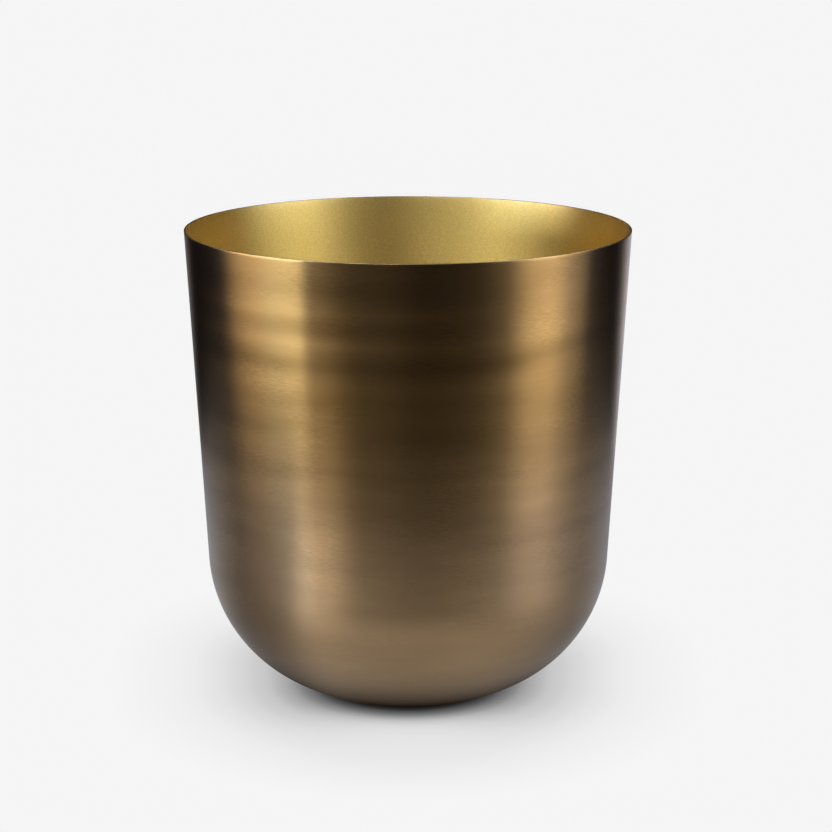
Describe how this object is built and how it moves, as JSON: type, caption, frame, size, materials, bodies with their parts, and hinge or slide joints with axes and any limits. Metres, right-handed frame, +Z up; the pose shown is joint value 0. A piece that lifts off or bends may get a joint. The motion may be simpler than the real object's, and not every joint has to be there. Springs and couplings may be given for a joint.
{
  "type": "planter pot",
  "caption": "Round metal planter pot with a slightly flared wall, a large rounded lower corner, a plain trimmed rim and a small flat base on felt pads.",
  "frame": {"origin": "on the surface the pot stands on, under the middle of the pot", "axes": "+Z up along the pot's axis, from the base to the rim; the pot is round, so +X points between two of the felt pads"},
  "size_m": [0.3, 0.3, 0.3225],
  "materials": {
    "antiqued_brass": "brushed round the pot and antiqued dark outside, satin gold inside",
    "felt": "dense pressed wool felt"
  },
  "bodies": {
    "root": {"pot_shell": "antiqued_brass", "felt_pad_1": "felt", "felt_pad_2": "felt", "felt_pad_3": "felt", "felt_pad_4": "felt"}
  },
  "joints": []
}
